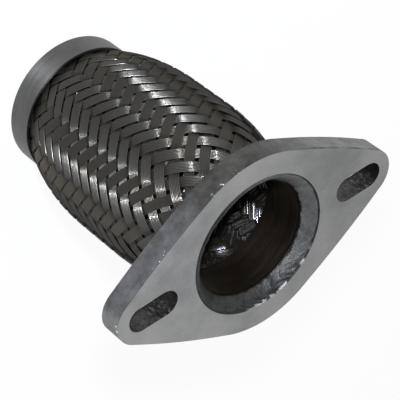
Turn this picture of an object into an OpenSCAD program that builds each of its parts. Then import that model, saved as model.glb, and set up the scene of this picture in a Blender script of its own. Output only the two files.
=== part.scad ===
// Exhaust flex pipe with a two-slot flange at its front end.
// A corrugated bellows lies between an outer and an inner wire braid. At each end these layers
// are clamped between a collar outside and a sleeve inside, and the front end is welded into
// the flange. The pipe stands on its rear end, with its axis on +Z and the flange face up.

/* [Overall] */
// Length from the rear end to the flange face
pipe_length = 120; // [100:1:180]
// Inside diameter of the end sleeves
bore_d = 48; // [42:0.5:52]

/* [Flange] */
// Thickness of the flange plate
flange_t = 9.5; // [7:0.5:14]
// Radius of the plate's round middle
flange_mid_r = 39; // [36:0.5:44]
// Radius of the plate's two round tips
flange_tip_r = 11.2; // [10:0.2:14]
// Radius of the plate's four long sides, which run on from the middle to the tips
flange_side_r = 350; // [150:10:600]
// Distance between the centres of the bolt slots
slot_spacing = 98; // [94:1:110]
// Width of each bolt slot
slot_w = 11; // [8:0.5:13]
// Length of each bolt slot over its round ends
slot_l = 21.8; // [14:0.2:24]
// How far the centre of each tip lies outside the centre of its slot
tip_offset = 4.7; // [3:0.1:8]
// Chamfer round the bore at the flange face
bore_chamfer = 0.8; // [0.4:0.1:1.5]

/* [Weld] */
// Depth of the tube ends below the flange face
weld_depth = 5.5; // [4:0.5:6.5]
// Height of the bead's inner edge above the tube ends
weld_toe = 0.6; // [0.3:0.1:1]
// How far the bead's face swells out of a straight cone
weld_swell = 0.4; // [0:0.1:0.8]

/* [Ends] */
// Length of each collar
collar_l = 11.4; // [8:0.1:16]
// Wall of the collars
collar_t = 1; // [0.9:0.1:2]
// Rounding of the rear collar's outer corner
collar_round = 0.7; // [0.2:0.1:0.8]
// Length of the inner sleeves
sleeve_l = 18.5; // [14:0.5:26]
// Wall of the inner sleeves
sleeve_t = 1.2; // [0.8:0.1:2]
// Clearance between one layer and the next
layer_gap = 0.05; // [0.03:0.01:0.1]
// Clearance between the front collar and the flange bore
flange_gap = 0.1; // [0.05:0.01:0.2]

/* [Braids] */
// Diameter over the outer braid at the middle of the pipe
braid_d = 72; // [66:0.2:76]
// Ribbons that run each way round a braid
ribbons = 24; // [20:2:28]
// Spacing of the outer braid's ribbons along the pipe at full diameter
outer_pitch = 6.1; // [5:0.1:9]
// Spacing of the inner braid's ribbons along the pipe
inner_pitch = 4.5; // [4:0.1:7]
// Thickness of the outer braid over both ribbon layers
outer_braid_t = 1.1; // [0.9:0.1:1.6]
// Thickness of the inner braid where it lies under a sleeve
inner_braid_t = 0.8; // [0.6:0.1:1.2]
// Depth of the dips between outer ribbons
outer_dip = 0.7; // [0.3:0.05:0.8]
// Depth of the dips between inner ribbons
inner_dip = 0.5; // [0.2:0.05:0.6]
// How far the braids' rear ends are cut back from the rear end of the pipe
braid_trim = 1; // [0.5:0.1:3]
// How far the inner braid bulges inwards past the sleeves' outside
inner_bulge = 0.4; // [0.1:0.1:0.8]
// Length over which the outer braid swells from the rear collar to full diameter
rear_shoulder_l = 38; // [16:1:44]
// Length over which it swells from the front collar
front_shoulder_l = 34; // [16:1:44]
// Roundness of both shoulders
shoulder_power = 2.2; // [1.6:0.1:3.2]

/* [Bellows] */
// Wall of the bellows
bellows_t = 0.5; // [0.3:0.05:0.8]
// Spacing of the convolutions
bellows_pitch = 5.8; // [5:0.1:8]
// Plain length between a collar and the first convolution
bellows_lead = 3; // [2:0.5:8]
// Clearance between the convolution crests and the outer braid
crest_gap = 0.3; // [0.2:0.1:1]

/* [Hidden] */
$fn = 96;

// Places along the axis
flange_back = pipe_length - flange_t;
tube_top = pipe_length - weld_depth;
front_collar_z = tube_top - collar_l;
front_sleeve_z = tube_top - sleeve_l;

// Columns of crossings round a braid, with two columns to each ribbon
columns = 2 * ribbons;
column_angle = 360 / columns;
// Radius of a polygon's corners over that of its flats
corner_over_flat = 1 / cos(column_angle / 2);

// Layers at the clamped ends, from the bore outwards
bore_r = bore_d / 2;
sleeve_r = bore_r + sleeve_t;
inner_braid_r = sleeve_r + layer_gap;
inner_braid_back = inner_braid_r + inner_braid_t;
bellows_in = inner_braid_back + layer_gap;
bellows_out = bellows_in + bellows_t;
outer_braid_back = bellows_out + layer_gap;
neck_r = outer_braid_back + outer_braid_t;
collar_in = neck_r + layer_gap;
collar_r = collar_in + collar_t;
flange_bore_r = collar_r + flange_gap;

barrel_r = braid_d / 2;
tip_x = slot_spacing / 2 + tip_offset;

// Outer braid: ribbon tops, dips and smooth inside at height z
outer_field = [collar_l, front_collar_z];
function outer_crest(z) =
    let (
        rear = (z - outer_field[0]) / rear_shoulder_l,
        front = (outer_field[1] - z) / front_shoulder_l,
        left = 1 - max(0, min(1, min(rear, front)))
    )
    neck_r + (barrel_r - neck_r) * (1 - pow(left, shoulder_power));
function outer_valley(z) = outer_crest(z) - outer_dip;
function outer_inside(z) =
    (outer_crest(z) - outer_braid_t) * corner_over_flat;

// Height of one row of crossings in the outer braid at height z. A ribbon keeps its length from
// one crossing to the next, so the rows stand further apart where the braid is narrow.
column_arc = 2 * PI / columns;
crossing_l = norm([column_arc * barrel_r, outer_pitch / 2]);
function outer_row_h(z) =
    let (
        reach = outer_pitch / 8,
        slope = (outer_crest(z + reach) - outer_crest(z - reach)) / (2 * reach)
    )
    sqrt(pow(crossing_l, 2) - pow(column_arc * outer_crest(z), 2)) / norm([1, slope]);

// Inner braid: ribbon tops, dips and smooth outside at height z
inner_field = [sleeve_l, front_sleeve_z];
function inner_crest(z) =
    let (rise = min(z - inner_field[0], inner_field[1] - z) / (inner_pitch / 2))
    inner_braid_r * corner_over_flat - inner_bulge * max(0, min(1, rise));
function inner_valley(z) = inner_crest(z) + inner_dip;
function inner_outside(z) = inner_braid_back;
function inner_row_h(z) = inner_pitch / 2;

// Flange plate: a round middle drawn out by four gently curved sides to two round tips.
// Each side meets the middle and a tip near where they share a line through the side's centre,
// and is set in a little, so that it cuts their circles cleanly and doesn't only graze them.
module flange_outline() {
    set_in = 0.05;
    to_middle = flange_side_r - flange_mid_r;
    to_tip = flange_side_r - flange_tip_r;
    centre_x = (pow(to_middle, 2) - pow(to_tip, 2) + pow(tip_x, 2)) / (2 * tip_x);
    centre = [centre_x, -sqrt(pow(to_middle, 2) - pow(centre_x, 2))];
    beyond = flange_side_r + 1;
    past_middle = centre - beyond / to_middle * centre;
    past_tip = centre + beyond / to_tip * ([tip_x, 0] - centre);
    circle(r = flange_mid_r);
    for (end = [-1, 1]) {
        translate([end * tip_x, 0])
            circle(r = flange_tip_r);
        for (side = [-1, 1])
            intersection() {
                translate([end * centre.x, side * centre.y])
                    circle(r = flange_side_r - set_in, $fn = 12 * $fn);
                polygon([
                    [0, 0], [end * past_middle.x, side * past_middle.y],
                    [end * past_tip.x, side * past_tip.y], [end * tip_x, 0]
                ]);
            }
    }
}

module bolt_slot(depth) {
    straight = slot_l - slot_w;
    translate([-straight / 2, -slot_w / 2, 0])
        cube([straight, slot_w, depth]);
    for (end = [-1, 1])
        translate([end * straight / 2, 0, 0])
            cylinder(d = slot_w, h = depth);
}

module mounting_flange() {
    spare = 1;
    color([0.58, 0.58, 0.56])
        translate([0, 0, flange_back])
            difference() {
                linear_extrude(flange_t)
                    flange_outline();
                translate([0, 0, -spare])
                    cylinder(r = flange_bore_r, h = flange_t + 2 * spare);
                translate([0, 0, flange_t - bore_chamfer])
                    cylinder(
                        r1 = flange_bore_r, r2 = flange_bore_r + bore_chamfer + spare,
                        h = bore_chamfer + spare
                    );
                for (end = [-1, 1])
                    translate([end * slot_spacing / 2, 0, -spare])
                        bolt_slot(flange_t + 2 * spare);
            }
}

// Weld bead that fills the step between the tube ends and the flange bore
module flange_weld() {
    bead_steps = 6;
    toe = [bore_r + layer_gap, tube_top + weld_toe];
    shoulder = [flange_bore_r, pipe_length - bore_chamfer];
    bead = [
        for (i = [0:bead_steps])
            let (t = i / bead_steps)
            toe + t * (shoulder - toe) + [0, weld_swell * sin(180 * t)]
    ];
    color([0.36, 0.36, 0.35])
        rotate_extrude()
            polygon(concat([[toe.x, tube_top]], bead, [[shoulder.x, tube_top]]));
}

// Plain ring of the layers' stack
module ring(inner_r, outer_r, low, high) {
    translate([0, 0, low])
        difference() {
            cylinder(r = outer_r, h = high - low);
            translate([0, 0, low - high])
                cylinder(r = inner_r, h = 3 * (high - low));
        }
}

module front_collar() {
    color([0.55, 0.55, 0.55])
        ring(collar_in, collar_r, front_collar_z, tube_top);
}

module rear_collar() {
    round_centre = [collar_r - collar_round, collar_round];
    corner = [
        for (turn = [0:15:90])
            round_centre + collar_round * [sin(turn), -cos(turn)]
    ];
    color([0.55, 0.55, 0.55])
        rotate_extrude()
            polygon(concat([[collar_in, 0]], corner, [[collar_r, collar_l], [collar_in, collar_l]]));
}

module front_sleeve() {
    color([0.33, 0.30, 0.26])
        ring(bore_r, sleeve_r, front_sleeve_z, tube_top);
}

module rear_sleeve() {
    color([0.33, 0.30, 0.26])
        ring(bore_r, sleeve_r, 0, sleeve_l);
}

// Bellows: the wall follows a row of U-shaped convolutions between two plain cuffs
module bellows() {
    steps = 16;
    fullness = 0.07;
    start = collar_l + bellows_lead;
    span = front_collar_z - bellows_lead - start;
    count = round(span / bellows_pitch);
    pitch = span / count;
    root = (bellows_in + bellows_out) / 2;
    crests = [
        for (i = [0:count - 1])
            let (middle = start + (i + 0.5) * pitch)
            min(outer_crest(middle - pitch / 3), outer_crest(middle + pitch / 3))
                - outer_braid_t - outer_dip - crest_gap - bellows_t / 2
    ];
    wave = [
        for (i = [0:count * steps])
            let (
                turn = i / steps,
                crest = crests[min(count - 1, floor(turn))],
                z = start + pitch * (turn + fullness * sin(720 * turn))
            )
            [root + (crest - root) * (1 - cos(360 * turn)) / 2, z]
    ];
    path = concat([[root, 0]], wave, [[root, tube_top]]);
    last = len(path) - 1;
    across = [
        for (i = [0:last])
            let (along = i == 0 || i == last ? [0, 1] : path[i + 1] - path[i - 1])
            [along.y, -along.x] / norm(along) * bellows_t / 2
    ];
    color([0.45, 0.44, 0.42])
        rotate_extrude()
            polygon(concat(
                [for (i = [0:last]) path[i] + across[i]],
                [for (i = [last:-1:0]) path[i] - across[i]]
            ));
}

// Braided wall. Ribbons cross on a lattice of columns round the pipe and rows along it, and
// each runs over two and under two, so the stretches on top stand in columns that slope one
// way and then the other. Each such stretch is a raised strip of the wall.
// ends and field give the heights of the whole wall and of its woven stretch, row_h is the height
// of a row and crest, valley and back are radii, all by height, stations are the places along a
// strip that get raised points, half_w is half the strip's width and outward tells which side is
// woven.
module braided_wall(ends, field, row_h, crest, valley, back, levels, stations, half_w, outward) {
    // Rows that fit below each of a row of marks, and from these the height of every row
    steps = 60;
    step_h = (field[1] - field[0]) / steps;
    marks = [for (i = [0:steps]) field[0] + i * step_h];
    packed = [for (z = marks) step_h / row_h(z)];
    function rows_below(i) =
        i == 0 ? 0 : rows_below(i - 1) + (packed[i - 1] + packed[i]) / 2;
    rows = 2 * round(rows_below(steps) / 2);
    fit = rows / rows_below(steps);
    row_marks = [for (i = [0:steps]) [fit * rows_below(i), marks[i]]];
    function row_z(row) = lookup(row, row_marks);

    function place(column, z, radius) =
        let (turn = (column + 0.5) * column_angle)
        [radius * cos(turn), radius * sin(turn), z];
    function row_point(column, row) =
        let (z = row_z(row), edge = row == 0 || row == rows)
        place(column, z, edge ? crest(z) : valley(z));
    function raised_point(spot) = place(spot.x, row_z(spot.y), crest(row_z(spot.y)));
    function ring_points(z, radius) = [for (c = [0:columns - 1]) place(c, z, radius)];

    // Every strip has a middle and the directions along and across it, in lattice steps
    strips = [
        for (first = [0:4:columns - 4], row = [2:2:rows - 2], lean = [1, -1])
            let (column = lean > 0 ? first : first + 2)
            [[column + 0.5, row + lean / 2], [1, lean], [lean, -1]]
    ];
    sides = half_w > 0 ? [-half_w, half_w] : [0];
    per_strip = len(stations) * len(sides);
    heights = concat([ends[0], field[0]], levels, [field[1], ends[1]]);

    points = concat(
        [for (row = [0:rows], c = [0:columns - 1]) row_point(c, row)],
        ring_points(ends[0], crest(ends[0])),
        ring_points(ends[1], crest(ends[1])),
        [for (z = heights) each ring_points(z, back(z))],
        [
            for (s = strips, along = stations, across = sides)
                raised_point(s[0] + along * s[1] + across * s[2])
        ]
    );
    low_ring = (rows + 1) * columns;
    high_ring = low_ring + columns;
    back_rings = high_ring + columns;
    raised = back_rings + len(heights) * columns;

    function at(ring_start, column) = ring_start + (column + columns) % columns;
    function lattice(spot) = at(spot.y * columns, spot.x);
    function quad(a, b, c, d) = [[a, b, c], [a, c, d]];
    function band(from, to) = [
        for (c = [0:columns - 1])
            each quad(at(from, c), at(to, c), at(to, c + 1), at(from, c + 1))
    ];

    // Corners on one long side of a strip, and the strip's raised points on that side
    function edge_corners(s, side) =
        [for (along = [-1:1]) lattice(s[0] + along * s[1] + side / 2 * s[2])];
    function strip_points(i, side) =
        [for (j = [0:len(stations) - 1]) raised + i * per_strip + j * len(sides) + side];
    function flat_strip(l, r, pl, pr) = concat(
        quad(pl[0], pl[1], pr[1], pr[0]), quad(pl[1], pl[2], pr[2], pr[1]),
        quad(l[0], l[1], pl[1], pl[0]), quad(l[1], l[2], pl[2], pl[1]),
        quad(pr[0], pr[1], r[1], r[0]), quad(pr[1], pr[2], r[2], r[1]),
        quad(l[0], pl[0], pr[0], r[0]), quad(pl[2], l[2], r[2], pr[2])
    );
    function ridge_strip(l, r, p) = [
        [l[0], p[0], r[0]], [l[2], r[2], p[1]],
        [l[0], l[1], p[0]], [l[1], p[1], p[0]], [l[1], l[2], p[1]],
        [r[0], p[0], r[1]], [p[0], p[1], r[1]], [r[1], p[1], r[2]]
    ];
    strip_faces = [
        for (i = [0:len(strips) - 1])
            let (l = edge_corners(strips[i], -1), r = edge_corners(strips[i], 1))
            each half_w > 0
                ? flat_strip(l, r, strip_points(i, 0), strip_points(i, 1))
                : ridge_strip(l, r, strip_points(i, 0))
    ];

    // Single crossings that are left over in the first and last rows, and the half ones beyond
    function crossing(c, row) = quad(
        lattice([c - 1, row]), lattice([c, row + 1]), lattice([c + 1, row]), lattice([c, row - 1])
    );
    function half_crossing(c, row, next) =
        let (
            left = lattice([c - 1, row]), middle = lattice([c, row]),
            right = lattice([c + 1, row]), tip = lattice([c, next])
        )
        next > row
            ? [[left, tip, middle], [middle, tip, right]]
            : [[left, middle, tip], [middle, right, tip]];
    edge_faces = [
        for (first = [0:4:columns - 4])
            each concat(
                crossing(first + 1, 1), crossing(first + 3, rows - 1),
                half_crossing(first, 0, 1), half_crossing(first + 2, 0, 1),
                half_crossing(first, rows, rows - 1), half_crossing(first + 2, rows, rows - 1)
            )
    ];

    plain_faces = concat(
        band(low_ring, 0),
        band(rows * columns, high_ring),
        band(high_ring, back_rings + (len(heights) - 1) * columns),
        [
            for (i = [len(heights) - 1:-1:1])
                each band(back_rings + i * columns, back_rings + (i - 1) * columns)
        ],
        band(back_rings, low_ring)
    );
    faces = concat(strip_faces, edge_faces, plain_faces);
    polyhedron(
        points = points,
        faces = outward ? faces : [for (f = faces) [f[2], f[1], f[0]]]
    );
}

module outer_braid() {
    shoulder_steps = 4;
    longest = 0.45 * (outer_field[1] - outer_field[0]);
    rear_step = min(rear_shoulder_l, longest) / shoulder_steps;
    front_step = min(front_shoulder_l, longest) / shoulder_steps;
    color([0.30, 0.29, 0.26])
        braided_wall(
            ends = [braid_trim, tube_top], field = outer_field,
            row_h = function(z) outer_row_h(z),
            crest = function(z) outer_crest(z),
            valley = function(z) outer_valley(z),
            back = function(z) outer_inside(z),
            levels = concat(
                [for (i = [1:shoulder_steps]) outer_field[0] + i * rear_step],
                [for (i = [shoulder_steps:-1:1]) outer_field[1] - i * front_step]
            ),
            stations = [-0.86, 0, 0.86], half_w = 0.38, outward = true
        );
}

module inner_braid() {
    color([0.34, 0.32, 0.29])
        braided_wall(
            ends = [braid_trim, tube_top], field = inner_field,
            row_h = function(z) inner_row_h(z),
            crest = function(z) inner_crest(z),
            valley = function(z) inner_valley(z),
            back = function(z) inner_outside(z),
            levels = [], stations = [-0.7, 0.7], half_w = 0, outward = false
        );
}

mounting_flange();
flange_weld();
front_collar();
rear_collar();
outer_braid();
bellows();
inner_braid();
front_sleeve();
rear_sleeve();
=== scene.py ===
import math

import bpy
import numpy as np
from mathutils import Matrix, Vector


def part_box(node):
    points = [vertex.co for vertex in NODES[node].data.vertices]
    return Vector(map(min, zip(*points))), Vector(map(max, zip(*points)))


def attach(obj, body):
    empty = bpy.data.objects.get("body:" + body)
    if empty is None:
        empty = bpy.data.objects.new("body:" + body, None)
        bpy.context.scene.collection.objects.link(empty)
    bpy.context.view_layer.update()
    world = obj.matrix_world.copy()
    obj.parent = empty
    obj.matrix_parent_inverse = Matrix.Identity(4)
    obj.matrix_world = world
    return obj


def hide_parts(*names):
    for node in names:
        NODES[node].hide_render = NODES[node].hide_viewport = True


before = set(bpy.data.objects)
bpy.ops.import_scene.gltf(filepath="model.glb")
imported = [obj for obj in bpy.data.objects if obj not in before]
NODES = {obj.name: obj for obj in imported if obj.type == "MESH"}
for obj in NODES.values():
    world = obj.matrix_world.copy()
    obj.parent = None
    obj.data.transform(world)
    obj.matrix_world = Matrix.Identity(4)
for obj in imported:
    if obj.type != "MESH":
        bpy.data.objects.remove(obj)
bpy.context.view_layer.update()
SCENE = bpy.context.scene
MM = 0.001

# Sizes taken from the frame, in metres
REAR_COLLAR_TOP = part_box("rear_collar")[1].z
FRONT_COLLAR_FOOT, TUBE_TOP = (corner.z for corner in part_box("front_collar"))
FACE_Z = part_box("mounting_flange")[1].z
WELD_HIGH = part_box("flange_weld")[1]
FRONT_SLEEVE_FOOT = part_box("front_sleeve")[0].z
REAR_SLEEVE_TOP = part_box("rear_sleeve")[1].z
BRAID_ENDS = tuple(corner.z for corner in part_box("outer_braid"))

# Weave and weld sizes, as in the part
RIBBONS = 24
COLUMN_ANGLE = math.pi / RIBBONS
NECK_R = 27.75 * MM
BARREL_R = 36 * MM
REAR_SHOULDER_L = 38 * MM
FRONT_SHOULDER_L = 34 * MM
SHOULDER_POWER = 2.2
OUTER_PITCH = 6.1 * MM
INNER_PITCH = 4.5 * MM
INNER_PLAIN_R = 25.3 * MM
INNER_BULGE = 0.4 * MM
WELD_TOE = 0.6 * MM
BORE_R = 24 * MM

# Directions across the pipe, as azimuths in degrees: to the photo's camera, and square to that, towards the
# upper right of the photo
NEAR_AZIMUTH = 122
FLANK_AZIMUTH = 32

# Box that holds a slot, and its middle
SLOT_X = (37 * MM, 60.5 * MM)
SLOT_HALF_W = 5.6 * MM
SLOT_MID = 49 * MM

# How upright the normals of the flange's rims and faces are at least, and where the rims of the outside start
RIM_TILT = 0.25
FACE_TILT = 0.92
RIM_FROM = 33 * MM

# Stretches of the flange over which one colour gives way to another along X, painted light and shade among
# them
FACE_FADE = (-50 * MM, 40 * MM)
DARK_MIDDLE = -6 * MM
DARK_FADE = (10 * MM, 30 * MM)
# Painted light on the cut edge towards the +X tip
LIT_EDGE_FROM = (20 * MM, 40 * MM)
CHIPPED_TO = (5 * MM, 20 * MM)
DARK_LINE_FROM = (20 * MM, 30 * MM)
TORN_FROM = (-2 * MM, 4 * MM)
# Painted shade on the outside rims towards +X
SHADED_RIM_FROM = (10 * MM, 30 * MM)

# The same up to the face, and round the bore towards an azimuth, where a highlight is painted
CHIP_BAND = (FACE_Z - 2.2 * MM, FACE_Z - 0.4 * MM)
DARK_LINE_BAND = (FACE_Z - 1.8 * MM, FACE_Z - 1 * MM)
GLINT_AZIMUTH = -70
GLINT_FROM = (22 * MM, 27 * MM)

# The same for the wire of the braids, up the pipe or across it, painted light and shade among them
BRIGHTER_FROM = (68 * MM, 95 * MM)
SMOOTH_FROM = (65 * MM, 90 * MM)
DULL_FROM = (70 * MM, 90 * MM)
FLANK_FADE = (-27 * MM, -15 * MM)
NEAR_FADE = (14 * MM, 24 * MM)

# The same for the weld, across the pipe or out from its axis, painted light on the crest among them
LIGHTER_SIDE_AZIMUTH = 21.8
LIGHTER_SIDE_FROM = (-5.57 * MM, 24.14 * MM)
LIT_CREST_FROM = (10 * MM, 20 * MM)
LIT_CREST_EDGE = (26.8 * MM, 27.8 * MM)
BEAD_EDGE = (23.7 * MM, 24.1 * MM)
BEAD_EDGE_WAVE = 1.6 * MM

# Tints of grimy and of bare wire, and how much more blue than green a tint takes out
GRIME_TINT = 0.38
METAL_TINT = 0.1
BLUE_TO_GREEN = 2.6

# Spots of the inner braid made bare and bright, a painted highlight where glints fall: middle, core and reach
GLINT_SPOTS = (
    ((16.5 * MM, -18 * MM, 90 * MM), 5 * MM, 8.5 * MM),
    ((3.3 * MM, -24.5 * MM, 91 * MM), 0.5 * MM, 3 * MM))


# Small helpers for meshes

def smoothstep(low, high, value):
    """Smooth change from 0 at low to 1 at high."""
    t = np.clip((value - low) / (high - low), 0, 1)
    return t * t * (3 - 2 * t)


def build_mesh(name, verts, faces, smooth=True, caps=None):
    """Mesh from points and faces of one size, with flat end caps of another size if given."""
    mesh = bpy.data.meshes.new(name)
    mesh.vertices.add(len(verts))
    mesh.vertices.foreach_set("co", np.asarray(verts, np.float32).ravel())
    groups = [faces] if caps is None else [faces, caps]
    loops = np.concatenate([group.ravel() for group in groups])
    sizes = np.concatenate([np.full(len(group), group.shape[1]) for group in groups])
    mesh.loops.add(len(loops))
    mesh.loops.foreach_set("vertex_index", loops.astype(np.int32))
    mesh.polygons.add(len(sizes))
    mesh.polygons.foreach_set("loop_start", np.concatenate([[0], np.cumsum(sizes)[:-1]]).astype(np.int32))
    mesh.update(calc_edges=True)
    mesh.polygons.foreach_set("use_smooth", (np.arange(len(sizes)) < len(faces)) & smooth)
    mesh.update()
    return mesh


def ring_mesh(name, points):
    """Mesh over a grid of points that closes both ways."""
    rows, cols = points.shape[:2]
    u, v = np.meshgrid(np.arange(rows), np.arange(cols), indexing="ij")
    next_u, next_v = (u + 1) % rows, (v + 1) % cols
    faces = np.stack([u * cols + v, next_u * cols + v, next_u * cols + next_v, u * cols + next_v], -1)
    return build_mesh(name, points.reshape(-1, 3), faces.reshape(-1, 4))


def add_piece(mesh, material, node):
    """Piece with the mesh's name, shown in place of a node of the CAD."""
    piece = bpy.data.objects.new(mesh.name, mesh)
    SCENE.collection.objects.link(piece)
    mesh.materials.append(material)
    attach(piece, "root")
    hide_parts(node)


# Material helpers

class Nodes:
    """Short names for building one material's node tree."""

    def __init__(self, name):
        self.material = bpy.data.materials.new(name)
        self.material.use_nodes = True
        self.tree = self.material.node_tree
        self.shader = self.tree.nodes["Principled BSDF"]

    def add(self, kind, **values):
        node = self.tree.nodes.new(kind)
        for key, value in values.items():
            setattr(node, key, value)
        return node

    def feed(self, socket, value):
        """Set a socket to a number or a colour, or link it to an output."""
        if isinstance(value, tuple):
            socket.default_value = (*value, 1)
        elif isinstance(value, (int, float)):
            socket.default_value = value
        else:
            self.tree.links.new(value, socket)

    def put(self, name, value):
        """Feed a socket of the material's shader."""
        self.feed(self.shader.inputs[name], value)

    def math(self, operation, *values):
        node = self.add("ShaderNodeMath", operation=operation)
        for socket, value in zip(node.inputs, values):
            self.feed(socket, value)
        return node.outputs[0]

    def times(self, first, *others):
        """Product of an output with other outputs or numbers."""
        for other in others:
            first = self.math("MULTIPLY", first, other)
        return first

    def total(self, *terms):
        """Sum of outputs, each given with its weight."""
        parts = [self.times(value, weight) for value, weight in terms]
        result = parts[0]
        for part in parts[1:]:
            result = self.math("ADD", result, part)
        return result

    def noise(self, vector, scale, detail=4.0, rough=0.55):
        node = self.add("ShaderNodeTexNoise")
        node.inputs["Scale"].default_value = scale
        node.inputs["Detail"].default_value = detail
        node.inputs["Roughness"].default_value = rough
        self.feed(node.inputs["Vector"], vector)
        return node.outputs["Fac"]

    def mapped(self, source, scale):
        node = self.add("ShaderNodeMapping")
        node.inputs["Scale"].default_value = scale
        self.feed(node.inputs["Vector"], source)
        return node.outputs["Vector"]

    def place(self, scale=(1, 1, 1)):
        """Place on the object, scaled along each axis."""
        return self.mapped(self.add("ShaderNodeTexCoord").outputs["Object"], scale)

    def weave(self, scale):
        """Place along and across a ribbon, scaled both ways."""
        return self.mapped(self.add("ShaderNodeUVMap", uv_map="weave").outputs["UV"], scale)

    def ramp(self, factor, *stops):
        """Colour by a factor, from stops of a factor and a colour each."""
        node = self.add("ShaderNodeValToRGB")
        band = node.color_ramp
        while len(band.elements) < len(stops):
            band.elements.new(0.5)
        for element, (position, color) in zip(band.elements, stops):
            element.position = position
            element.color = (*color, 1)
        self.feed(node.inputs["Fac"], factor)
        return node.outputs["Color"]

    def span(self, value, low, high, start=0.0, end=1.0):
        """Smooth change from start, where value is low, to end, where it is high."""
        node = self.add("ShaderNodeMapRange", interpolation_type="SMOOTHSTEP")
        for key, number in zip(("From Min", "From Max", "To Min", "To Max"), (low, high, start, end)):
            node.inputs[key].default_value = number
        self.feed(node.inputs["Value"], value)
        return node.outputs["Result"]

    def split(self, vector):
        node = self.add("ShaderNodeSeparateXYZ")
        self.feed(node.inputs["Vector"], vector)
        return node.outputs["X"], node.outputs["Y"], node.outputs["Z"]

    def radius(self):
        """Distance from the pipe's axis."""
        node = self.add("ShaderNodeVectorMath", operation="LENGTH")
        self.feed(node.inputs[0], self.place((1, 1, 0)))
        return node.outputs["Value"]

    def toward(self, azimuth):
        """Distance from the pipe's axis as measured towards an azimuth in degrees."""
        x, y, _ = self.split(self.place())
        angle = math.radians(azimuth)
        return self.total((x, math.cos(angle)), (y, math.sin(angle)))

    def near(self, point, core, reach):
        """One within core of a point, nothing beyond reach."""
        node = self.add("ShaderNodeVectorMath", operation="DISTANCE")
        self.feed(node.inputs[0], self.place())
        node.inputs[1].default_value = point
        return self.span(node.outputs["Value"], core, reach, 1, 0)

    def mix(self, factor, a, b, blend="MIX"):
        node = self.add("ShaderNodeMix", data_type="RGBA", blend_type=blend)
        for key, value in (("Factor", factor), ("A", a), ("B", b)):
            self.feed(node.inputs[key], value)
        return node.outputs["Result"]

    def bump(self, height, strength, distance):
        node = self.add("ShaderNodeBump")
        node.inputs["Strength"].default_value = strength
        node.inputs["Distance"].default_value = distance
        self.feed(node.inputs["Height"], height)
        self.put("Normal", node.outputs["Normal"])


def grey(value, warm=0.0):
    """Grey, warmer or, below 0, cooler."""
    return (value * (1 + warm), value, value * (1 - warm))


def olive(value, tint):
    """Brownish grey: a tint takes out blue, and less of the green."""
    return (value, value * (1 - tint / BLUE_TO_GREEN), value * (1 - tint))


# Flange plate

def plate_face(n, x, grain):
    """Colour of the faces: smudged grey, darker towards the +X tip."""
    cloud = n.noise(n.place((1, 1, 0.2)), 30, 6, 0.62)
    tone = n.total((cloud, 0.8), (grain, 0.2))
    pale = n.ramp(
        tone, (0.39, (0.226, 0.226, 0.223)), (0.5, (0.299, 0.294, 0.287)), (0.61, (0.343, 0.333, 0.32)))
    darker_tone = n.ramp(
        tone, (0.39, (0.186, 0.187, 0.18)), (0.5, (0.237, 0.235, 0.227)), (0.61, (0.276, 0.27, 0.258)))
    return n.mix(n.span(x, *FACE_FADE), pale, darker_tone)


def plate_edge(n, x, z, normal_x, patchy):
    """Colour of the cut edge: dull, darker by the pipe, bare and painted light at the tips, chipped and lined
    dark by the face.
    """
    mottle = n.noise(n.place(), 170, 6, 0.7)
    cut = n.ramp(
        mottle, (0.3, (0.035, 0.036, 0.039)), (0.5, (0.078, 0.079, 0.083)), (0.7, (0.115, 0.116, 0.12)))
    darkened = n.ramp(mottle, (0.3, (0.007, 0.007, 0.006)), (0.7, (0.07, 0.069, 0.062)))
    lit_and_bare = n.ramp(mottle, (0.3, (0.09, 0.091, 0.091)), (0.7, (0.19, 0.19, 0.19)))
    # Darker by the pipe
    from_dark_middle = n.math("ABSOLUTE", n.math("SUBTRACT", x, DARK_MIDDLE))
    edge = n.mix(n.span(from_dark_middle, *DARK_FADE), darkened, cut)
    # Painted light: the edge is lighter where it faces -X and towards the +X tip
    edge = n.mix(n.span(normal_x, -0.95, -0.75), lit_and_bare, edge)
    edge = n.mix(n.span(x, *LIT_EDGE_FROM, 0, 0.8), edge, lit_and_bare)
    chip = n.span(n.noise(n.place(), 900, 2, 0.6), 0.58, 0.66)
    edge = n.mix(n.times(chip, n.span(z, *CHIP_BAND), patchy), edge, (0.9, 0.9, 0.9))
    dark_line = n.times(n.span(z, *DARK_LINE_BAND), n.span(x, *DARK_LINE_FROM), n.span(mottle, 0.4, 0.55, 0.9, 0.4))
    return n.mix(dark_line, edge, (0.015, 0.015, 0.015))


def slot_wall(n, x, normal_x):
    """Colour of the slots' walls: sanded, then dark and torn, and with painted shade where they face away
    from +X.
    """
    crumb = n.noise(n.place((1, 1, 0.6)), 1000, 5, 0.75)
    torn = n.ramp(crumb, (0.42, grey(0.004)), (0.56, grey(0.035, 0.06)), (0.7, grey(0.22)))
    sanded = n.ramp(crumb, (0.36, (0.014, 0.0135, 0.012)), (0.66, (0.075, 0.073, 0.066)))
    along = n.math("SUBTRACT", x, n.times(n.math("SIGN", x), SLOT_MID))
    wall = n.mix(n.span(along, *TORN_FROM), sanded, torn)
    # Painted shade: walls that face -X are darkened
    return n.mix(1.0, wall, n.span(normal_x, -0.9, 0.1, 0.15), "MULTIPLY")


def in_slot(n, x, y):
    """One inside the boxes of both slots, nothing elsewhere."""
    out = n.math("ABSOLUTE", x)
    within = n.times(n.math("GREATER_THAN", out, SLOT_X[0]), n.math("LESS_THAN", out, SLOT_X[1]))
    return n.times(within, n.math("LESS_THAN", n.math("ABSOLUTE", y), SLOT_HALF_W))


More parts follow.
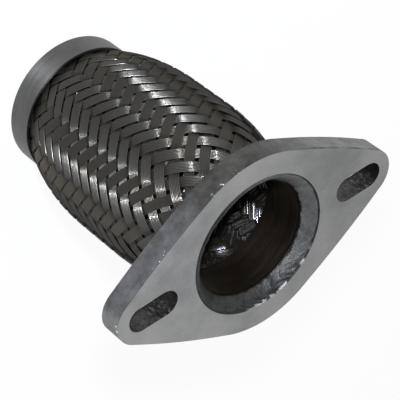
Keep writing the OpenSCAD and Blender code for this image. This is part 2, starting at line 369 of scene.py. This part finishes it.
def plate_rim(n, x, normal_y, patchy):
    """Colour of the rounded rims: grey with bright nicks and painted shade, round the bore painted shade with
    a painted highlight.
    """
    nick = n.times(n.span(n.noise(n.place(), 620, 2, 0.6), 0.5, 0.56), patchy)
    # Painted shade: the outside rims darken towards +X and where they face -Y
    outside = n.mix(n.span(x, *SHADED_RIM_FROM), (0.2, 0.2, 0.2), (0.05, 0.05, 0.05))
    outside = n.mix(nick, outside, (1, 1, 0.98))
    outside = n.mix(n.span(normal_y, -0.35, -0.1), (0.02, 0.02, 0.02), outside)
    # Painted highlight: a broken bright patch on the bore's rim towards GLINT_AZIMUTH, the rest of that rim
    # painted shade
    glint_break = n.span(n.noise(n.place(), 260, 4), 0.46, 0.62)
    glint = n.times(n.span(n.toward(GLINT_AZIMUTH), *GLINT_FROM), glint_break)
    bore = n.mix(glint, (0.012, 0.012, 0.012), (0.3, 0.3, 0.3))
    return n.mix(n.math("GREATER_THAN", n.radius(), RIM_FROM), bore, outside)


def plate_material():
    """Flange plate, with its own colours on faces, rims, cut edge and slot walls, painted light and shade
    among them.
    """
    n = Nodes("flange_plate")
    grain = n.noise(n.place(), 1400, 3)
    scratch = n.noise(n.place((60, 1100, 60)), 1.0, 2)
    x, y, z = n.split(n.place())
    normal_x, normal_y, normal_z = n.split(n.add("ShaderNodeNewGeometry").outputs["True Normal"])
    upright = n.math("ABSOLUTE", normal_z)
    patchy = n.times(n.span(n.noise(n.place(), 55, 2), 0.5, 0.6), n.span(x, *CHIPPED_TO, 1, 0))
    wall = n.mix(in_slot(n, x, y), plate_edge(n, x, z, normal_x, patchy), slot_wall(n, x, normal_x))
    colour_and_shade = n.mix(n.math("GREATER_THAN", upright, RIM_TILT), wall, plate_rim(n, x, normal_y, patchy))
    n.put("Base Color", n.mix(n.math("GREATER_THAN", upright, FACE_TILT), colour_and_shade, plate_face(n, x, grain)))
    n.put("Metallic", 0.6)
    n.put("Roughness", n.math("ADD", n.times(scratch, 0.2), 0.42))
    n.bump(n.total((grain, 1), (scratch, 0.4)), 0.3, 0.4 * MM)
    return n.material


# Steel, wire and weld

def steel_material(name, low, high, roughness, stretch, warm=0.0, brushed=0.0):
    """Rolled steel: soft blotches and fine lines drawn out along stretch."""
    n = Nodes(name)
    blotch = n.noise(n.place(), 80, 5)
    lines = n.noise(n.place(stretch), 1.0, 3)
    speck = n.noise(n.place(), 1600, 2)
    tone = n.total((blotch, 0.4), (lines, 0.35), (speck, 0.25))
    n.put("Base Color", n.ramp(tone, (0.35, grey(low, warm)), (0.65, grey(high, warm))))
    n.put("Metallic", 1.0)
    n.put("Anisotropic", brushed)
    n.put("Anisotropic Rotation", 0.25)
    n.put("Tangent", n.add("ShaderNodeTangent", direction_type="RADIAL", axis="Z").outputs["Tangent"])
    n.put("Roughness", n.math("ADD", n.times(lines, 0.2), roughness - 0.1))
    n.bump(n.math("ADD", lines, speck), 0.15, 0.3 * MM)
    return n.material


def bare_wire_and_glints(n, height):
    """Flakes on the tops where metal shows through soot, with spots of painted highlight, and those spots
    alone.
    """
    flake = n.noise(n.weave((50, 800, 1)), 1.0, 2)
    flakes = n.times(n.span(flake, 0.53, 0.62, 0, 0.45), n.span(height, 0.75, 0.98))
    spots = n.math("MAXIMUM", *(n.near(*spot) for spot in GLINT_SPOTS))
    glint_spots = n.times(spots, n.span(flake, 0.44, 0.56), n.span(height, 0.6, 0.95))
    return n.math("MAXIMUM", flakes, glint_spots), glint_spots


def wire_material(name, low, high, roughness, polish, shade_z, darkened):
    """Braid wire: streaks along the ribbon, brown grime and painted shade in the dips, polished tops, painted
    shade towards the rear end, painted light towards the flange and on one flank.

    shade_z is the two heights between which the painted shade thins out and the brightness under it. Darkened
    wire is black with soot, apart from where its metal shows and from spots of painted highlight.
    """
    n = Nodes(name)
    _, _, z = n.split(n.place())
    height = n.add("ShaderNodeAttribute", attribute_name="height").outputs["Fac"]
    streak = n.noise(n.weave((25, 3500, 1)), 1.0, 3)
    stain = n.noise(n.place(), 90, 4)
    tone = n.total((streak, 0.6), (stain, 0.4))
    clean = n.ramp(tone, (0.3, olive(low, GRIME_TINT)), (0.7, olive(high, METAL_TINT)))
    # Dips are darker: brown grime, and painted shade there
    grime_and_shade = n.ramp(tone, (0.3, olive(0.65 * low, GRIME_TINT)), (0.7, olive(0.9 * high, METAL_TINT)))
    colour_and_shade = n.mix(n.ramp(height, (0.3, grey(0)), (0.9, grey(1))), grime_and_shade, clean)
    # Painted light and shade: darker towards the rear end, lighter towards the flange and on one flank
    painted_light = n.times(n.span(z, *shade_z), n.span(z, *BRIGHTER_FROM, 1, 1.28))
    painted_light = n.times(painted_light, n.span(n.toward(FLANK_AZIMUTH), *FLANK_FADE, 1.18, 1))
    # Painted shade on the wire's edge reflection, dimmer away from the near side
    painted_edge_sheen = n.times(painted_light, n.span(n.toward(NEAR_AZIMUTH), *NEAR_FADE, 0.1))
    by_height = n.span(height, 0.4, 0.8, roughness + 0.06, roughness - 0.04)
    rough = n.total((streak, 0.1), (by_height, 1), (n.span(z, *SMOOTH_FROM, 0, 0.03), -1))
    n.put("Metallic", 1.0)
    if darkened:
        # Bare flakes, and spots of painted highlight where the glints fall
        lit_and_bare, glint_spots = bare_wire_and_glints(n, height)
        soot = n.mix(1.0, colour_and_shade, (0.2, 0.18, 0.15), "MULTIPLY")
        colour_and_shade = n.mix(glint_spots, n.mix(lit_and_bare, soot, (0.3, 0.3, 0.3)), (0.29, 0.29, 0.31))
        painted_edge_sheen = n.times(painted_edge_sheen, lit_and_bare)
        rough = n.math("ADD", rough, n.times(glint_spots, 0.14))
        n.put("Metallic", n.span(lit_and_bare, 0.0, 0.4, 0.03))
        n.put("Specular IOR Level", 0.05)
    n.put("Base Color", n.mix(1.0, colour_and_shade, painted_light, "MULTIPLY"))
    n.put("Specular Tint", n.mix(1.0, (0.7, 0.66, 0.6), painted_edge_sheen, "MULTIPLY"))
    n.put("Roughness", rough)
    tops = n.ramp(height, (0.5, grey(0.2)), (0.9, grey(1)))
    n.put("Coat Weight", n.times(tops, painted_light, n.span(z, *DULL_FROM, polish, 0.5 * polish)))
    n.put("Coat Roughness", 0.4)
    n.put("Coat IOR", 3.0)
    return n.material


def weld_material():
    """Weld metal: lumpy grey, darker on one side but for painted light on its outer crest by the near side;
    black along its ragged inner edge.
    """
    n = Nodes("weld_metal")
    lump = n.noise(n.place(), 260, 6)
    grain = n.noise(n.place(), 1500, 4)
    tone = n.total((lump, 0.6), (grain, 0.4))
    bright = n.ramp(tone, (0.3, grey(0.07, -0.01)), (0.7, grey(0.175)))
    darker_side = n.ramp(tone, (0.3, grey(0.012, -0.02)), (0.7, grey(0.06, -0.01)))
    lighter_side = n.span(n.toward(LIGHTER_SIDE_AZIMUTH), *LIGHTER_SIDE_FROM)
    # Painted light: the outer crest on the near side is lit
    lit_crest = n.times(n.span(n.toward(NEAR_AZIMUTH), *LIT_CREST_FROM), n.span(n.radius(), *LIT_CREST_EDGE, 1, 0))
    metal = n.mix(n.math("MAXIMUM", lighter_side, lit_crest), darker_side, bright)
    ragged = n.total((n.radius(), 1), (n.noise(n.place(), 420, 3), -BEAD_EDGE_WAVE))
    n.put("Base Color", n.mix(n.span(ragged, *BEAD_EDGE), (0.008, 0.007, 0.006), metal))
    n.put("Metallic", 0.8)
    n.put("Roughness", n.math("ADD", n.times(lump, 0.3), 0.35))
    n.bump(tone, 0.6, 0.6 * MM)
    return n.material


# Woven ribbons

# Places along a ribbon, in rows from where it dives, close together at the bend
DIVE_STEPS = np.array([-0.32, -0.15, 0, 0.15, 0.32, 0.6, 1.0, 1.4])

# Points on a wire's upper half, from the valley beside it, in wire radii
WIRE_ARC = ((-1, 0), (-0.65, 0.73), (0, 1), (0.65, 0.73))

# How far the woven part goes on under collars and sleeves, in rows, and the points of each clamped end
CLAMPED_ROWS = 0.6
END_POINTS = 6

# Points of the table of rows, step over which a slope is measured, distance of the ribbons in the weave map
ROW_TABLE_POINTS = 400
SLOPE_STEP = 0.01 * MM
STREAK_SHIFT = 20 * MM

# Crossings after which the weave repeats, over two and under two
REPEAT = 4

# Form of the ribbons at some heights: how far the wires stand out, how squarely the ribbons dive, how far the
# wires are spread. The outer ribbons are beaten flatter towards the flange.
OUTER_FORM = {
    "z": (30 * MM, 42 * MM, 52 * MM, 66 * MM, 92 * MM),
    "relief": (1.6, 1.2, 1.0, 1.0, 0.5),
    "square": (3.5, 3.5, 3.5, 3.0, 2.0),
    "spread": (1.1, 1.1, 1.07, 1.05, 1.07)}
INNER_FORM = {"z": BRAID_ENDS, "relief": (1.0, 1.0), "square": (1.6, 1.6), "spread": (1.0, 1.0)}


def outer_top(z):
    """Radius over the outer braid's ribbons at height z."""
    rear = (z - REAR_COLLAR_TOP) / REAR_SHOULDER_L
    front = (FRONT_COLLAR_FOOT - z) / FRONT_SHOULDER_L
    share = np.clip(np.minimum(rear, front), 0, 1)
    return NECK_R + (BARREL_R - NECK_R) * (1 - (1 - share) ** SHOULDER_POWER)


def outer_row_h(z):
    """Height of a row of crossings in the outer braid, whose ribbons keep their length between crossings."""
    reach = OUTER_PITCH / 8
    slope = (outer_top(z + reach) - outer_top(z - reach)) / (2 * reach)
    crossing = math.hypot(COLUMN_ANGLE * BARREL_R, OUTER_PITCH / 2)
    return np.sqrt((crossing ** 2 - (COLUMN_ANGLE * outer_top(z)) ** 2) / (1 + slope ** 2))


def inner_top(z):
    """Radius inside the inner braid's ribbons at height z."""
    share = np.clip(np.minimum(z - REAR_SLEEVE_TOP, FRONT_SLEEVE_FOOT - z) / (INNER_PITCH / 2), 0, 1)
    return INNER_PLAIN_R - INNER_BULGE * share


def inner_row_h(z):
    """Height of a row of crossings in the inner braid, the same all along."""
    return np.full_like(z, INNER_PITCH / 2)


def row_marks(field, row_h):
    """Number of rows in the open field, and a table of row numbers and heights along the whole braid."""
    marks = np.linspace(*field, ROW_TABLE_POINTS)
    packed = (marks[1] - marks[0]) / row_h(marks)
    below = np.concatenate([[0], np.cumsum((packed[1:] + packed[:-1]) / 2)])
    rows = 2 * round(below[-1] / 2)
    below = below * rows / below[-1]
    first = (BRAID_ENDS[0] - field[0]) / row_h(marks)[0]
    last = rows + (BRAID_ENDS[1] - field[1]) / row_h(marks)[-1]
    heights = np.concatenate([[BRAID_ENDS[0]], marks, [BRAID_ENDS[1]]])
    return rows, np.concatenate([[first], below, [last]]), heights


def ribbon_section(width, wires, base):
    """Closed outline of a flat bundle of round wires, as (across, up), and which points are valleys."""
    radius = width / wires / 2
    outline, valley = [], []
    for i in range(wires):
        middle = -width / 2 + (2 * i + 1) * radius
        outline += [(middle + radius * x, radius * y) for x, y in WIRE_ARC]
        valley += [True, False, False, False]
    outline += [(width / 2, 0), (width / 2, -base), (-width / 2, -base)]
    valley += [True, True, True]
    return np.array(outline), np.array(valley)


def stations(first, last, shown, dive):
    """Places along a ribbon, in rows: close together where it dives, every two rows from dive on."""
    apart = REPEAT / 2
    dives = dive + apart * (np.arange(-2, int((last - first) / apart) + 3) + math.floor(first / apart))
    k = (dives[:, None] + DIVE_STEPS).ravel()
    k = k[(k > max(first, shown[0])) & (k < min(last, shown[1]))]
    rear = np.linspace(first, k[0], END_POINTS)[:-1]
    front = np.linspace(k[-1], last, END_POINTS)[1:]
    return np.concatenate([rear, k, front])


def woven_ribbons(name, lean, field, row_h, top, outward, width, wires, base, swing, form):
    """All ribbons of a braid that lean one way. Each passes over two crossings and under two."""
    section, valley = ribbon_section(width, wires, base)
    across, up = section[:, 0][None], section[:, 1][None]
    rows, row_numbers, row_heights = row_marks(field, row_h)
    # Row of a dive, and column where the ribbons lie on top
    dive, over_centre = (1.5, 0.5) if lean > 0 else (0.5, 2.5)
    k = stations(row_numbers[0], row_numbers[-1], (-CLAMPED_ROWS, rows + CLAMPED_ROWS), dive)
    z = np.interp(k, row_numbers, row_heights)
    relief, square, spread = (np.interp(z, form["z"], form[key]) for key in ("relief", "square", "spread"))
    slope = ((top(z + SLOPE_STEP) - top(z - SLOPE_STEP)) / (2 * SLOPE_STEP))[:, None]
    length = np.sqrt(1 + slope ** 2)
    radius = top(z)

    # Direction of the ribbon on the unrolled wall, per row
    turn_step = lean * COLUMN_ANGLE * radius
    rise_step = np.gradient(z, k) * length[:, 0]
    norm = np.hypot(turn_step, rise_step)
    across_turn, across_rise = -rise_step / norm, turn_step / norm
    path = np.concatenate([[0], np.cumsum(norm[1:] * np.diff(k))])

    b = across * spread[:, None]
    stand = np.where(up >= 0, (up - up.max()) * relief[:, None], up - up.max())
    wall_z = z[:, None] + across_rise[:, None] * b / length
    verts, along, beside, height = [], [], [], []
    for i in range(RIBBONS):
        column = lean * k + 2 * i
        swing_angle = 2 * math.pi / REPEAT * (column - over_centre)
        wave = np.tanh(square * np.cos(swing_angle)) / np.tanh(square)
        turn = ((column + 0.5) * COLUMN_ANGLE)[:, None] + across_turn[:, None] * b / radius[:, None]
        rise = stand - (swing * (1 - wave) / 2)[:, None]
        ribbon_r = top(wall_z) + outward * rise / length
        ribbon_z = np.clip(wall_z - outward * rise * slope / length, *BRAID_ENDS)
        verts.append(np.stack([ribbon_r * np.cos(turn), ribbon_r * np.sin(turn), ribbon_z], -1))
        along.append(np.repeat(path[:, None], b.shape[1], 1))
        beside.append(b + STREAK_SHIFT * i)
        height.append(np.repeat((wave[:, None] + 1) / 2, b.shape[1], 1))
    mesh = ribbon_mesh(name, np.array(verts), np.array(along), np.array(beside), valley, lean * outward > 0)
    heights = np.array(height, np.float32).ravel()
    mesh.attributes.new("height", "FLOAT", "POINT").data.foreach_set("value", heights)
    return mesh


def ribbon_mesh(name, verts, along, beside, valley, keep_order):
    """Mesh of closed ribbons with capped ends, creased in the valleys between wires.

    The points come by ribbon, place along it and place round its section. The weave map tells how far along
    and how far beside each lies.
    """
    ribbons, count, loop = verts.shape[:3]
    ribbon, place, j = np.meshgrid(np.arange(ribbons), np.arange(count - 1), np.arange(loop), indexing="ij")
    next_j = (j + 1) % loop
    here = (ribbon * count + place) * loop
    there = here + loop
    quad = np.stack([here + j, here + next_j, there + next_j, there + j], -1).reshape(-1, 4)
    starts = np.arange(ribbons)[:, None] * count * loop
    low = starts + np.arange(loop)[::-1]
    high = starts + (count - 1) * loop + np.arange(loop)
    cap = np.concatenate([low, high])
    if not keep_order:
        quad, cap = quad[:, ::-1], cap[:, ::-1]
    mesh = build_mesh(name, verts.reshape(-1, 3), quad, caps=cap)

    corners = np.concatenate([quad.ravel(), cap.ravel()])
    flat_uv = np.stack([along.ravel(), beside.ravel()], -1)[corners]
    mesh.uv_layers.new(name="weave").data.foreach_set("uv", flat_uv.astype(np.float32).ravel())

    pairs = np.empty(len(mesh.edges) * 2, np.int32)
    mesh.edges.foreach_get("vertices", pairs)
    spot, station = pairs.reshape(-1, 2) % loop, pairs.reshape(-1, 2) // loop % count
    sharp = (spot[:, 0] == spot[:, 1]) & valley[spot[:, 0]]
    sharp |= (station[:, 0] == station[:, 1]) & np.isin(station[:, 0], (0, count - 1))
    mesh.attributes.new("sharp_edge", "BOOLEAN", "EDGE").data.foreach_set("value", sharp)
    return mesh


outer_wire = wire_material(
    "outer_wire", low=0.031, high=0.054, roughness=0.21, polish=0.11,
    shade_z=(11.5 * MM, 23 * MM, 0.2), darkened=False)
inner_wire = wire_material(
    "inner_wire", low=0.03, high=0.06, roughness=0.15, polish=0.03,
    shade_z=(12 * MM, 90 * MM, 0.4), darkened=True)
OUTER_BRAID = {
    "field": (REAR_COLLAR_TOP, FRONT_COLLAR_FOOT), "row_h": outer_row_h, "top": outer_top, "outward": 1,
    "width": 3.75 * MM, "wires": 7, "base": 0.22 * MM, "swing": 0.6 * MM, "form": OUTER_FORM}
INNER_BRAID = {
    "field": (REAR_SLEEVE_TOP, FRONT_SLEEVE_FOOT), "row_h": inner_row_h, "top": inner_top, "outward": -1,
    "width": 3.3 * MM, "wires": 5, "base": 0.15 * MM, "swing": 0.5 * MM, "form": INNER_FORM}
for lean, side in ((1, "right"), (-1, "left")):
    outer_ribbons = woven_ribbons("outer_ribbons_" + side, lean, **OUTER_BRAID)
    add_piece(outer_ribbons, outer_wire, "outer_braid")
    inner_ribbons = woven_ribbons("inner_ribbons_" + side, lean, **INNER_BRAID)
    add_piece(inner_ribbons, inner_wire, "inner_braid")


# Weld bead

# Points round the bead and across it
BEAD_STEPS = 1080
BEAD_POINTS = 34

# Middle and width in degrees of the side with coarse ripples and of the side that is flush with the face
COARSE_SIDE = (-88, 34)
FLUSH_SIDE = (125, 60)

# Ripples round the bead, and the share of each that rises
RIPPLES = 36
RIPPLE_RISE = 0.8

# How far the bead stays under the face, and clear of the plate's chamfer and of the bore
FACE_GAP = 0.02 * MM
CHAMFER_GAP = 0.03 * MM
BORE_GAP = 0.02 * MM


def lumps(rng, phi, t, waves, rows):
    """Smooth random heights from -1 to 1 round the ring (phi) and across the bead (t)."""
    grid = rng.uniform(-1, 1, (waves, rows + 1))
    u, v = phi / (2 * math.pi) * waves, t * rows
    i, j = np.floor(u).astype(int), np.clip(np.floor(v).astype(int), 0, rows - 1)
    share_u, share_v = smoothstep(0, 1, u - i), smoothstep(0, 1, v - j)
    i, next_i = i % waves, (i + 1) % waves
    low = grid[i, j] * (1 - share_u) + grid[next_i, j] * share_u
    high = grid[i, j + 1] * (1 - share_u) + grid[next_i, j + 1] * share_u
    return low * (1 - share_v) + high * share_v


def weld_mesh():
    """Bead that is smooth over most of the ring, notched by coarse ripples on one side, flush opposite."""
    rng = np.random.default_rng(7)
    around = np.linspace(0, 2 * math.pi, BEAD_STEPS, endpoint=False)
    phi, t = np.meshgrid(around, np.linspace(0, 1, BEAD_POINTS), indexing="ij")

    def side(middle, width):
        """One in the middle of a side, fading out over its width."""
        away = (phi - math.radians(middle) + math.pi) % (2 * math.pi) - math.pi
        return np.exp(-(away / math.radians(width)) ** 2)

    coarse, flush = side(*COARSE_SIDE), side(*FLUSH_SIDE)
    edge_wave = lumps(rng, phi, t * 0, 70, 1)
    sway = 0.55 * np.sin(math.pi * t) + 0.5 * lumps(rng, phi, t, 26, 2)
    step = (RIPPLES * phi / (2 * math.pi) + sway) % 1
    ripple = np.where(step < RIPPLE_RISE, step / RIPPLE_RISE, (1 - step) / (1 - RIPPLE_RISE)) - 0.5
    soft = lumps(rng, phi, t, 24, 2)
    fine = lumps(rng, phi, t, 210, 9)
    jag = 0.2 * lumps(rng, phi, t * 0, 22, 1) + 0.25 * lumps(rng, phi, t * 0, 60, 1)

    # The bead goes from out on the chamfer (t = 0) to the bore (t = 1). Its heights are in millimetres
    fade = np.sin(math.pi * t ** 0.7) ** 0.6
    ripple_h = 0.04 + 0.75 * coarse * (1 - 0.85 * t)
    relief = fade * (ripple_h * ripple + 0.16 * soft + 0.07 * fine) * MM
    bulge = (0.4 + 1.7 * flush) * np.sin(math.pi * t) * MM
    out = np.clip(0.2 + 0.16 * edge_wave + 0.35 * coarse * (ripple + 0.2) + 0.2 * flush, 0.02, 0.72) * MM
    inner_r = BORE_R + (0.47 + jag) * MM
    r = (WELD_HIGH.x + out) * (1 - t) + inner_r * t
    z = (WELD_HIGH.z + out + CHAMFER_GAP) * (1 - t) + (TUBE_TOP + WELD_TOE) * t + bulge + relief
    z = np.minimum(z, FACE_Z - FACE_GAP)
    rings = [np.stack([r * np.cos(phi), r * np.sin(phi), z], -1)]
    turn = phi[:, :1]
    foot = np.full_like(turn, TUBE_TOP)
    for radius in (BORE_R + BORE_GAP, WELD_HIGH.x):
        rings.append(np.stack([radius * np.cos(turn), radius * np.sin(turn), foot], -1))
    return ring_mesh("weld_bead", np.concatenate(rings, 1))


add_piece(weld_mesh(), weld_material(), "flange_weld")


# Finishes of the CAD pieces

BEVEL_SEGMENTS = 3
BEVEL_ANGLE = math.radians(35)


def finish(node, material, bevel=None):
    """Give a CAD piece its material, and round its sharp edges by a bevel width if given."""
    piece = NODES[node]
    piece.data.materials.clear()
    piece.data.materials.append(material)
    if bevel:
        modifier = piece.modifiers.new("edge", "BEVEL")
        modifier.width = bevel
        modifier.segments = BEVEL_SEGMENTS
        modifier.limit_method = "ANGLE"
        modifier.angle_limit = BEVEL_ANGLE


collar = steel_material("collar_steel", 0.092, 0.169, 0.42, stretch=(60, 60, 1500), brushed=0.86)
sleeve = steel_material("sleeve_steel", 0.033, 0.06, 0.5, stretch=(60, 60, 500), warm=0.28)
bellows = steel_material("bellows_steel", 0.06, 0.12, 0.35, stretch=(60, 60, 900))
finish("mounting_flange", plate_material(), 0.5 * MM)
finish("rear_collar", collar, 0.15 * MM)
finish("front_collar", collar)
finish("front_sleeve", sleeve)
finish("rear_sleeve", sleeve)
finish("bellows", bellows)


# Camera, from a perspective fit of the photograph

CAMERA_POS = Vector((-288.153, 460.160, 514.857)) * MM
CAMERA_RIGHT = Vector((0.77700416, -0.09441531, 0.62226314))
CAMERA_UP = Vector((0.47228003, 0.74095299, -0.47717059))
CAMERA_BACK = Vector((-0.41612561, 0.66464598, 0.62034851))
SENSOR_W = 36
LENS = 164.774
camera_data = bpy.data.cameras.new("camera")
camera_data.sensor_width = SENSOR_W
camera_data.lens = LENS
camera = bpy.data.objects.new("camera", camera_data)
axes = Matrix((CAMERA_RIGHT, CAMERA_UP, CAMERA_BACK)).transposed()
camera.matrix_world = Matrix.Translation(CAMERA_POS) @ axes.to_4x4()
SCENE.collection.objects.link(camera)
SCENE.camera = camera


# Floor, light and background

FLOOR_HALF = 3.0
FLOOR_GREY = 0.8
FLOOR_GLOW = 0.92
KEY_POS = CAMERA_POS + Vector((50, 31, -46)) * MM
KEY_SIZE = 40 * MM
KEY_POWER = 6.5
KEY_COLOR = (0.85, 0.92, 1)
FILL_POS = Vector((620, 350, 550)) * MM
FILL_SIZE = 800 * MM
FILL_POWER = 1.2
FILL_COLOR = (1, 1, 1)
SKY_TONES = ((0.1, 1.0), (0.8, 0.4))


def floor_material():
    """White floor: almost plain white where seen or mirrored, and a matt floor for the light on the part."""
    n = Nodes("floor_white")
    n.tree.nodes.clear()
    rays = n.add("ShaderNodeLightPath").outputs
    seen = n.math("MAXIMUM", rays["Is Camera Ray"], rays["Is Glossy Ray"])
    seen = n.math("MAXIMUM", seen, rays["Is Transmission Ray"])
    matt = n.add("ShaderNodeBsdfDiffuse")
    n.feed(matt.inputs["Color"], grey(FLOOR_GREY))
    white = n.add("ShaderNodeEmission")
    n.feed(white.inputs["Strength"], 1.0)
    mix = n.add("ShaderNodeMixShader")
    for socket, value in zip(mix.inputs, (n.times(seen, FLOOR_GLOW), matt.outputs[0], white.outputs[0])):
        n.feed(socket, value)
    n.feed(n.add("ShaderNodeOutputMaterial").inputs["Surface"], mix.outputs[0])
    return n.material


corners = [(x * FLOOR_HALF, y * FLOOR_HALF, 0) for x, y in ((-1, -1), (1, -1), (1, 1), (-1, 1))]
floor_mesh = build_mesh("floor", corners, np.array([[0, 1, 2, 3]]), smooth=False)
floor = bpy.data.objects.new("floor", floor_mesh)
SCENE.collection.objects.link(floor)
floor_mesh.materials.append(floor_material())


def add_light(name, position, size, power, color):
    """Square lamp that faces the middle of the pipe."""
    data = bpy.data.lights.new(name, "AREA")
    data.size = size
    data.energy = power
    data.color = color
    light = bpy.data.objects.new(name, data)
    light.location = position
    light.rotation_euler = (Vector((0, 0, FACE_Z / 2)) - position).to_track_quat("-Z", "Y").to_euler()
    SCENE.collection.objects.link(light)


add_light("key", KEY_POS, KEY_SIZE, KEY_POWER, KEY_COLOR)
add_light("fill", FILL_POS, FILL_SIZE, FILL_POWER, FILL_COLOR)

# Soft sky, white at the horizon and greyer overhead
world = bpy.data.worlds.new("studio")
SCENE.world = world
world.use_nodes = True
tree = world.node_tree
coord = tree.nodes.new("ShaderNodeTexCoord")
split = tree.nodes.new("ShaderNodeSeparateXYZ")
sky = tree.nodes.new("ShaderNodeValToRGB")
for element, (position, tone) in zip(sky.color_ramp.elements, SKY_TONES):
    element.position = position
    element.color = (*grey(tone), 1)
tree.links.new(coord.outputs["Generated"], split.inputs["Vector"])
tree.links.new(split.outputs["Z"], sky.inputs["Fac"])
tree.links.new(sky.outputs["Color"], tree.nodes["Background"].inputs["Color"])
SCENE.view_settings.view_transform = "Standard"
